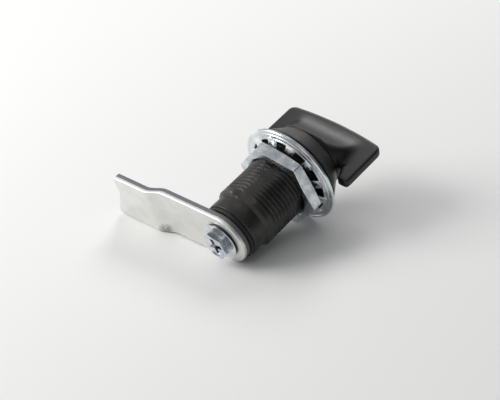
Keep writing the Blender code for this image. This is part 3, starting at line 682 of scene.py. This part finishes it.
@dataclass
class Barrel:
    """The fixed housing: conical bezel, flatted barrel with a real thread, and plain neck."""

    bezel_radius: float = 16.3 * MM
    bezel_top_radius: float = 12.4 * MM
    bezel_bottom: float = 1.5 * MM
    bezel_top: float = 8.2 * MM
    lip: float = 0.4 * MM
    thread_radius: float = 11.0 * MM
    thread_depth: float = 0.85 * MM
    pitch: float = 1.5 * MM
    half_flats: float = 10.1 * MM
    thread_end: float = -21.6 * MM
    shoulder: float = -23.9 * MM
    neck_radius: float = 9.9 * MM
    neck_end: float = -29.4 * MM
    recess_radius: float = 8.0 * MM
    recess_floor: float = -26.3 * MM
    bore: float = 6.3 * MM
    steps: int = 288

    def profile(self) -> list[tuple[float, float]]:
        """The housing's half section, with close points along the thread."""
        soft = 0.25 * MM
        rows = round((self.bezel_bottom - self.thread_end) / self.pitch * 9)
        span = self.bezel_bottom - self.thread_end
        thread = [(self.thread_radius, self.bezel_bottom - span * i / rows) for i in range(rows + 1)]
        return [
            (self.bore, self.bezel_top), (self.bezel_top_radius - soft, self.bezel_top),
            (self.bezel_top_radius, self.bezel_top - soft),
            (self.bezel_radius, self.bezel_bottom + self.lip),
            (self.bezel_radius, self.bezel_bottom + soft),
            (self.bezel_radius - soft, self.bezel_bottom),
            *thread,
            (self.thread_radius, self.shoulder + 0.9 * MM), (10.6 * MM, self.shoulder + 0.3 * MM),
            (10.1 * MM, self.shoulder), (self.neck_radius, self.shoulder - 0.2 * MM),
            (self.neck_radius, self.neck_end + soft), (self.neck_radius - soft, self.neck_end),
            (self.recess_radius, self.neck_end), (self.recess_radius, self.recess_floor),
            (self.bore, self.recess_floor),
        ]

    def crest(self, radius: float, angle: float, height: float) -> tuple[float, float]:
        """The thread's ribs, cut off by the four flats."""
        if radius < self.half_flats + 0.1 * MM or height > self.bezel_bottom - 0.1 * MM:
            return radius, height
        if radius < self.thread_radius + 0.01 * MM and height >= self.thread_end:
            turn = (height / self.pitch - angle / math.tau) % 1.0
            rib = min(1.0, max(0.0, (abs(2.0 * turn - 1.0) - 0.10) / 0.72))
            fade = min(1.0, (height - self.thread_end) / (0.8 * MM))
            radius -= self.thread_depth * rib * fade
        quarter = math.tau / 4
        off = (angle - FLATS_TURN + quarter / 2) % quarter - quarter / 2
        return min(radius, self.half_flats / math.cos(off)), height

    def build(self) -> None:
        """Makes the housing."""
        shape = Shape.spun(self.profile(), self.steps).reshape(self.crest)
        shape.finish("threaded_barrel", Body.BARREL, Finish.BARREL_PLASTIC, ["housing"], sharp=28.0)
        self.dress()

    @staticmethod
    def dress() -> None:
        """Dresses the small parts that sit in the housing."""
        looks = {"flange_gasket": Finish.RUBBER, "thrust_washer": Finish.SLIP_PLASTIC,
                 "detent_ball_1": Finish.SPRING_STEEL, "detent_ball_2": Finish.SPRING_STEEL,
                 "detent_spring_1": Finish.SPRING_STEEL, "detent_spring_2": Finish.SPRING_STEEL}
        dress_nodes(looks)


def dress_nodes(looks: dict[str, Finish]) -> None:
    """Gives carried-over CAD nodes their finishes.

    Args:
        looks: the finish for each node.
    """
    for node, look in looks.items():
        obj = frame["nodes"][node]
        obj.data.materials.clear()
        obj.data.materials.append(look.material())
        log.info("%s: dressed", node)


@dataclass
class Knob:
    """The wing knob with its two finger scoops."""

    grain: float = 0.26 * MM
    passes: int = 16
    blends: int = 160
    turn: float = math.radians(7.5)
    foot: float = 9.9 * MM
    top: float = 25.05 * MM
    half_length: float = 18.95 * MM
    bow: float = 1.5 * MM
    margin: float = 2.0 * MM
    web: tuple = (8.5 * MM, 13.2 * MM, 14.9 * MM)

    def is_open_face(self, place: Vector) -> bool:
        """True on the knob's broad faces, clear of its rim and its outer edges.

        Args:
            place: a point on the knob in the latch's own frame.

        Returns:
            Whether the surface there may be blended.
        """
        along = place.x * math.cos(self.turn) + place.y * math.sin(self.turn)
        edge = self.top - self.bow * (along / self.half_length) ** 2 - self.margin
        return self.foot < place.z < edge and abs(along) < self.half_length - self.margin

    def build(self) -> None:
        """Makes the knob."""
        shape = softened("wing_knob", CAM_ROLL, self.grain, self.passes, self.web)
        face = [v for v in shape.bm.verts if self.is_open_face(v.co)]
        for _ in range(self.blends):
            bmesh.ops.smooth_vert(shape.bm, verts=face, factor=0.5, use_axis_x=True, use_axis_y=True,
                                  use_axis_z=True)
        shape.finish("wing_grip", Body.TURNING, Finish.BLACK_PLASTIC, ["wing_knob"], CAM_ROLL, 60.0)


@dataclass
class Cam:
    """The cranked cam, its bolt and what lies between it and the barrel."""

    width: float = 18.2 * MM
    thickness: float = 2.6 * MM
    back: float = -31.1 * MM
    reach: float = 51.6 * MM
    slant: float = 5.0 * MM
    square: float = 7.1 * MM
    crank: float = 2.2 * MM
    bend: tuple = (24.5 * MM, 31.5 * MM)
    hole: float = 8.3 * MM
    seat: float = -34.4 * MM
    flange_radius: float = 6.35 * MM
    flange_top: float = -34.72 * MM
    across_flats: float = 8.9 * MM
    head_end: float = -37.68 * MM
    head_turn: float = math.radians(12.5)
    crown: float = 4.25 * MM
    shank_radius: float = 2.9 * MM
    shank_tip: float = -21.3 * MM
    recess_width: float = 1.7 * MM
    recess_length: float = 6.9 * MM
    recess_depth: float = 2.2 * MM
    steps: int = 144

    def hexagon(self, angle: float) -> float:
        """The head's radius in one direction."""
        sixth = math.tau / 6
        off = (angle - self.head_turn) % sixth - sixth / 2
        return self.across_flats / 2 / math.cos(off)

    def head(self, radius: float, angle: float, height: float) -> tuple[float, float]:
        """Draws the round blank out to a hexagon with a chamfered crown."""
        blank = self.across_flats / 2 + 0.6 * MM
        if abs(radius - blank) > 0.01 * MM:
            return radius, height
        reach = self.hexagon(angle)
        if height < self.head_end + 1.0 * MM:
            height = self.head_end + (reach - self.crown) * math.tan(math.radians(16))
        return reach, height

    def build(self) -> None:
        """Makes the cam and its bolt, and dresses the rest."""
        self.plate()
        self.bolt()
        dress_nodes({
            "spindle": Finish.BRIGHT_ZINC, "spindle_o_ring_1": Finish.RUBBER,
            "spindle_o_ring_2": Finish.RUBBER, "wave_washer": Finish.SPRING_STEEL,
            "retaining_ring": Finish.DARK_STEEL, "stop_ring": Finish.STOP_DISC,
            # the lock washer is dressed dark as painted shade for the gap under the bolt's flange
            "lock_washer": Finish.DARK_STEEL,
        })

    def outline(self, bm: bmesh.types.BMesh) -> None:
        """Draws the cam's flat outline as one face.

        Args:
            bm: the mesh to draw it in.
        """
        half = self.width / 2
        start = bm.verts.new((0.0, half, 0.0))
        bmesh.ops.spin(bm, geom=[start], cent=(0.0, 0.0, 0.0), axis=(0.0, 0.0, 1.0),
                       angle=math.pi, steps=48, use_merge=False)
        bm.verts.ensure_lookup_table()
        heel = min(bm.verts, key=lambda v: v.co.y)
        tip = [(self.reach, -half), (self.reach - self.slant, half - self.square),
               (self.reach - self.slant, half)]
        corners = [bm.verts.new((x, y, 0.0)) for x, y in tip]
        for pair in zip([heel, *corners], [*corners, start]):
            bm.edges.new(pair)
        for corner, size in ((corners[0], 1.95 * MM), (corners[2], 1.2 * MM)):
            bmesh.ops.bevel(bm, geom=[corner], offset=size, segments=6, profile=0.5,
                            affect="VERTICES", material=-1)
        bmesh.ops.contextual_create(bm, geom=bm.edges[:])

    def crank_rise(self, x: float) -> float:
        """How far the plate is set back towards the tip at a place along it."""
        start, end = self.bend
        share = min(1.0, max(0.0, (x - start) / (end - start)))
        return self.crank * share * share * (3.0 - 2.0 * share)

    def plate(self) -> None:
        """Makes the cranked plate with its rolled front edge and square hole."""
        shape = Shape()
        self.outline(shape.bm)
        start, end = self.bend
        stations = [start + (end - start) * i / 16 for i in range(17)] + [12 * MM, 18 * MM, 38 * MM]
        for x in stations:
            bmesh.ops.bisect_plane(shape.bm, geom=shape.bm.verts[:] + shape.bm.edges[:] + shape.bm.faces[:],
                                   plane_co=(x, 0.0, 0.0), plane_no=(1.0, 0.0, 0.0))
        raised = bmesh.ops.extrude_face_region(shape.bm, geom=shape.bm.faces[:])["geom"]
        lifted = [v for v in raised if isinstance(v, bmesh.types.BMVert)]
        bmesh.ops.translate(shape.bm, vec=(0.0, 0.0, -self.thickness), verts=lifted)
        bmesh.ops.recalc_face_normals(shape.bm, faces=shape.bm.faces)
        for level, size in ((-self.thickness, 0.38 * MM), (0.0, 0.12 * MM)):
            rim = [e for e in shape.bm.edges if all(abs(v.co.z - level) < 0.01 * MM for v in e.verts)
                   and abs(e.link_faces[0].normal.z) + abs(e.link_faces[1].normal.z) < 1.5]
            bmesh.ops.bevel(shape.bm, geom=rim, offset=size, segments=4, profile=0.5,
                            affect="EDGES", material=-1)
        for vert in shape.bm.verts:
            vert.co.z += self.back - self.crank_rise(vert.co.x)
        middle = Matrix.Translation((0.0, 0.0, self.back - self.thickness / 2))
        shape.cut(Shape().block((self.hole, self.hole, 3 * self.thickness), middle))
        shape.finish("cranked_cam", Body.TURNING, Finish.CAM_ZINC, ["cam"], CAM_ROLL, 30.0)

    def bolt(self) -> None:
        """Makes the flanged hexagon bolt with its cross recess."""
        blank = self.across_flats / 2 + 0.6 * MM
        inner = self.crown
        soft = 0.12 * MM
        profile = [
            (0.0, self.shank_tip), (self.shank_radius - 0.6 * MM, self.shank_tip),
            (self.shank_radius, self.shank_tip - 0.6 * MM), (self.shank_radius, self.seat),
            (self.flange_radius - soft, self.seat), (self.flange_radius, self.seat - soft),
            (self.flange_radius, self.flange_top + soft), (self.flange_radius - soft, self.flange_top),
            (blank, self.flange_top), (blank, self.head_end + 0.9 * MM), (inner, self.head_end),
            (inner - 0.4 * MM, self.head_end), (inner - 0.8 * MM, self.head_end + 0.35 * MM),
            (0.0, self.head_end + 0.5 * MM),
        ]
        shape = Shape.spun(profile, self.steps, closed=False).reshape(self.head)
        for quarter in range(2):
            turned = Matrix.Rotation(self.head_turn + math.radians(90 * quarter), 4, "Z")
            middle = self.head_end + self.recess_depth / 2 - 0.2 * MM
            place = Matrix.Translation((0.0, 0.0, middle)) @ Matrix.Rotation(math.pi, 4, "X") @ turned
            size = (self.recess_length, self.recess_width, self.recess_depth)
            shape.cut(Shape().block(size, place, 0.55))
        bmesh.ops.recalc_face_normals(shape.bm, faces=shape.bm.faces)
        shape.finish("flanged_bolt", Body.TURNING, Finish.BOLT_ZINC, ["cam_bolt"], CAM_ROLL, 25.0)


@dataclass
class Nut:
    """The thin hexagon nut that clamps the panel."""

    across_flats: float = 27.0 * MM
    front: float = -3.51 * MM
    back: float = -7.61 * MM
    bore: float = 11.3 * MM
    crown: float = 13.36 * MM
    chamfer: float = math.radians(9.0)
    turn: float = math.radians(15.8)
    steps: int = 240

    def hexagon(self, radius: float, angle: float, height: float) -> tuple[float, float]:
        """Draws the round blank out to a hexagon, under two chamfer cones."""
        if radius < self.crown + 0.02 * MM:
            return radius, height
        sixth = math.tau / 6
        off = (angle - self.turn) % sixth - sixth / 2
        reach = self.across_flats / 2 / math.cos(off)
        drop = (reach - self.crown) * math.tan(self.chamfer)
        middle = (self.front + self.back) / 2
        share = (height - middle) / ((self.front - self.back) / 2)
        height = middle + share * ((self.front - self.back) / 2 - drop)
        soft = 0.12 * MM if abs(share) > 0.99 else 0.0
        return reach - soft, height

    def build(self) -> None:
        """Makes the nut."""
        lead = 0.5 * MM
        half = (self.front - self.back) / 2
        middle = (self.front + self.back) / 2
        out = self.across_flats / 2
        profile = [
            (self.bore, self.back + lead), (self.bore + lead, self.back), (self.crown, self.back),
            (out, middle - half), (out, middle - 0.94 * half), (out, middle + 0.94 * half),
            (out, middle + half), (self.crown, self.front), (self.bore + lead, self.front),
            (self.bore, self.front - lead),
        ]
        shape = Shape.spun(profile, self.steps).reshape(self.hexagon)
        shape.finish("panel_nut", Body.NUT, Finish.NUT_ZINC, ["hex_nut"], sharp=24.0)


@dataclass
class ToothWasher:
    """The dished washer with twisted teeth round its bore."""

    radius: float = 18.0 * MM
    thickness: float = 1.1 * MM
    rim: float = 3.4 * MM
    dish: float = 0.5 * MM
    teeth: int = 12
    tooth_width: float = 3.5 * MM
    tooth_inner: float = 11.7 * MM
    slope: float = math.radians(24.0)
    twist: float = math.radians(9.0)
    first: float = math.radians(22.6)
    steps: int = 240

    def rim_shape(self) -> Shape:
        """The rolled rim with its two turned lines."""
        outer = self.radius
        inner = self.radius - self.rim
        low = -self.thickness
        soft = 0.25 * MM
        profile = [
            (inner, -self.dish - soft), (inner + soft, -self.dish + 0.03 * MM),
            (outer - soft, -0.02 * MM), (outer, -soft), (outer, low + soft), (outer - soft, low),
            (outer - 1.0 * MM, low - 0.10 * MM), (outer - 1.12 * MM, low + 0.02 * MM),
            (outer - 1.35 * MM, low + 0.02 * MM), (outer - 1.47 * MM, low - 0.20 * MM),
            (outer - 2.35 * MM, low - 0.34 * MM), (outer - 2.45 * MM, low - 0.22 * MM),
            (outer - 2.65 * MM, low - 0.24 * MM), (outer - 2.75 * MM, low - 0.42 * MM),
            (inner + soft, low - self.dish), (inner, low - self.dish + soft),
        ]
        return Shape.spun(profile, self.steps)

    def blade(self, shape: Shape, angle: float) -> None:
        """Adds one twisted tooth.

        Args:
            shape: the washer in the making.
            angle: the tooth's direction.
        """
        inner = self.radius - self.rim
        run = inner - self.tooth_inner
        root = 0.9 * MM
        tooth = bmesh.ops.create_cube(shape.bm, size=1.0)["verts"]
        bmesh.ops.scale(shape.bm, vec=(run / math.cos(self.slope), self.tooth_width,
                                       0.8 * self.thickness), verts=tooth)
        tips = [v for v in tooth if v.co.x < 0]
        roots = [v for v in tooth if v.co.x > 0]
        bmesh.ops.scale(shape.bm, vec=(1.0, 0.92, 1.0), verts=tips)
        bmesh.ops.rotate(shape.bm, matrix=Matrix.Rotation(self.twist, 3, "X"), verts=tooth)
        bmesh.ops.rotate(shape.bm, matrix=Matrix.Rotation(-self.slope, 3, "Y"), verts=tooth)
        bmesh.ops.translate(shape.bm, vec=(root, 0.0, 0.0), verts=roots)
        edges = list({e for v in tooth for e in v.link_edges})
        made = bmesh.ops.bevel(shape.bm, geom=edges, offset=0.14 * MM, segments=2, profile=0.5,
                               affect="EDGES", material=-1)
        tooth = list({v for f in made["faces"] for v in f.verts} | {v for v in tooth if v.is_valid})
        middle = (inner + self.tooth_inner) / 2
        height = -self.dish - self.thickness / 2 - run / 2 * math.tan(self.slope)
        place = Matrix.Rotation(angle, 4, "Z") @ Matrix.Translation((middle, 0.0, height))
        bmesh.ops.transform(shape.bm, matrix=place, verts=tooth)

    def build(self) -> None:
        """Makes the washer."""
        shape = self.rim_shape()
        for number in range(self.teeth):
            self.blade(shape, self.first + math.tau * number / self.teeth)
        shape.finish("toothed_washer", Body.WASHER, Finish.BRIGHT_ZINC, ["tooth_washer"], sharp=24.0)


@dataclass
class Studio:
    """The pale table, the soft light and the camera."""

    camera_place: tuple = (0.264768, -0.239153, 0.212848)
    camera_right: tuple = (0.708742, 0.699530, -0.091336)
    camera_up: tuple = (-0.299436, 0.415521, 0.858883)
    camera_ahead: tuple = (-0.638767, 0.581378, -0.503962)
    lens: float = 88.86
    table: float = 6.0
    lights: list = field(default_factory=lambda: [
        ("key", (-0.42, -0.36, 0.36), 0.34, 3.1, (1.0, 0.995, 0.98)),
        ("back", (-0.26, 0.44, 0.44), 0.26, 1.5, (1.0, 1.0, 1.0)),
            ])

    def build(self) -> None:
        """Makes the table, the lights, the sky and the camera."""
        self.make_table()
        for name, place, width, power, colour in self.lights:
            self.make_light(name, Vector(place), width, power, colour)
        self.make_sky()
        self.make_camera()

    def make_table(self) -> None:
        """The table top, just under the latch."""
        bm = bmesh.new()
        bmesh.ops.create_grid(bm, x_segments=4, y_segments=4, size=self.table / 2)
        bmesh.ops.translate(bm, vec=(0.0, 0.0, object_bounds()[0][2] - 0.00002), verts=bm.verts)
        mesh = bpy.data.meshes.new("table_top")
        bm.to_mesh(mesh)
        bm.free()
        g = Graph("pale_table")
        here = g.node("ShaderNodeTexCoord", output="Object")
        cloud = g.noise(here, 2.0, 2.0)
        colour = g.mix(cloud, (0.84, 0.84, 0.835, 1.0), (0.87, 0.87, 0.865, 1.0))
        mesh.materials.append(g.surface(Base_Color=colour, Roughness=0.85, Specular_IOR_Level=0.2))
        top = bpy.data.objects.new("table_top", mesh)
        bpy.context.scene.collection.objects.link(top)
        top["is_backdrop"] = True

    @staticmethod
    def make_light(name: str, place: Vector, width: float, power: float, colour: tuple) -> None:
        """One soft box, aimed at the latch.

        Args:
            name: the light's name.
            place: where it stands.
            width: the side of its square face.
            power: its power in watts.
            colour: its colour.
        """
        data = bpy.data.lights.new(name, "AREA")
        data.shape = "SQUARE"
        data.size = width
        data.energy = power
        data.color = colour
        lamp = bpy.data.objects.new(name, data)
        lamp.location = place
        aim = Vector((0.0, 0.0, 0.015)) - place
        lamp.rotation_euler = aim.to_track_quat("-Z", "Y").to_euler()
        bpy.context.scene.collection.objects.link(lamp)

    @staticmethod
    def make_sky() -> None:
        """Even white surroundings that are darker low down, as round a light tent."""
        world = bpy.data.worlds.new("light_tent")
        world.use_nodes = True
        tree = world.node_tree
        tree.nodes.clear()
        here = tree.nodes.new("ShaderNodeTexCoord")
        split = tree.nodes.new("ShaderNodeVectorMath")
        split.operation = "DOT_PRODUCT"
        split.inputs[1].default_value = Vector((-0.60, -0.20, 0.76)).normalized()
        ramp = tree.nodes.new("ShaderNodeValToRGB")
        Graph._stops(ramp.color_ramp, [
            (0.0, (0.10, 0.10, 0.105, 1.0)), (0.40, (0.20, 0.205, 0.215, 1.0)),
            (0.54, (0.80, 0.81, 0.82, 1.0)), (1.0, (1.0, 1.0, 1.0, 1.0))])
        shift = tree.nodes.new("ShaderNodeMath")
        shift.operation = "MULTIPLY_ADD"
        shift.inputs[1].default_value = 0.5
        shift.inputs[2].default_value = 0.5
        back = tree.nodes.new("ShaderNodeBackground")
        back.inputs["Strength"].default_value = 0.55
        out = tree.nodes.new("ShaderNodeOutputWorld")
        tree.links.new(here.outputs["Generated"], split.inputs[0])
        tree.links.new(split.outputs["Value"], shift.inputs[0])
        patches = tree.nodes.new("ShaderNodeTexNoise")
        patches.inputs["Scale"].default_value = 2.3
        patches.inputs["Detail"].default_value = 1.0
        flags = tree.nodes.new("ShaderNodeMapRange")
        flags.interpolation_type = "SMOOTHSTEP"
        for socket, value in (("From Min", 0.44), ("From Max", 0.56), ("To Min", 0.30), ("To Max", 1.25)):
            flags.inputs[socket].default_value = value
        flagged = tree.nodes.new("ShaderNodeVectorMath")
        flagged.operation = "SCALE"
        tree.links.new(here.outputs["Generated"], patches.inputs["Vector"])
        tree.links.new(patches.outputs[0], flags.inputs["Value"])
        tree.links.new(shift.outputs[0], ramp.inputs[0])
        tree.links.new(ramp.outputs[0], flagged.inputs[0])
        tree.links.new(flags.outputs[0], flagged.inputs["Scale"])
        tree.links.new(flagged.outputs[0], back.inputs["Color"])
        tree.links.new(back.outputs[0], out.inputs["Surface"])
        bpy.context.scene.world = world

    def make_camera(self) -> None:
        """The camera, a long lens from the front right and above."""
        data = bpy.data.cameras.new("long_lens")
        data.lens = self.lens
        data.sensor_width = 36.0
        data.clip_start = 0.01
        data.clip_end = 20.0
        camera = bpy.data.objects.new("long_lens", data)
        turned = Matrix((Vector(self.camera_right), Vector(self.camera_up),
                         -Vector(self.camera_ahead))).transposed().to_4x4()
        camera.matrix_world = Matrix.Translation(self.camera_place) @ turned
        bpy.context.scene.collection.objects.link(camera)
        bpy.context.scene.camera = camera


def main() -> None:
    """Builds the latch and its studio."""
    logging.basicConfig(level=logging.INFO, format="%(message)s")
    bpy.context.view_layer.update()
    bpy.context.scene.view_settings.view_transform = "Standard"
    studio = Studio()
    studio.build()
    for assembly in (Barrel(), Knob(), Cam(), Nut(), ToothWasher()):
        assembly.build()
        log.info("%s done", type(assembly).__name__)


if __name__ == "__main__":
    main()
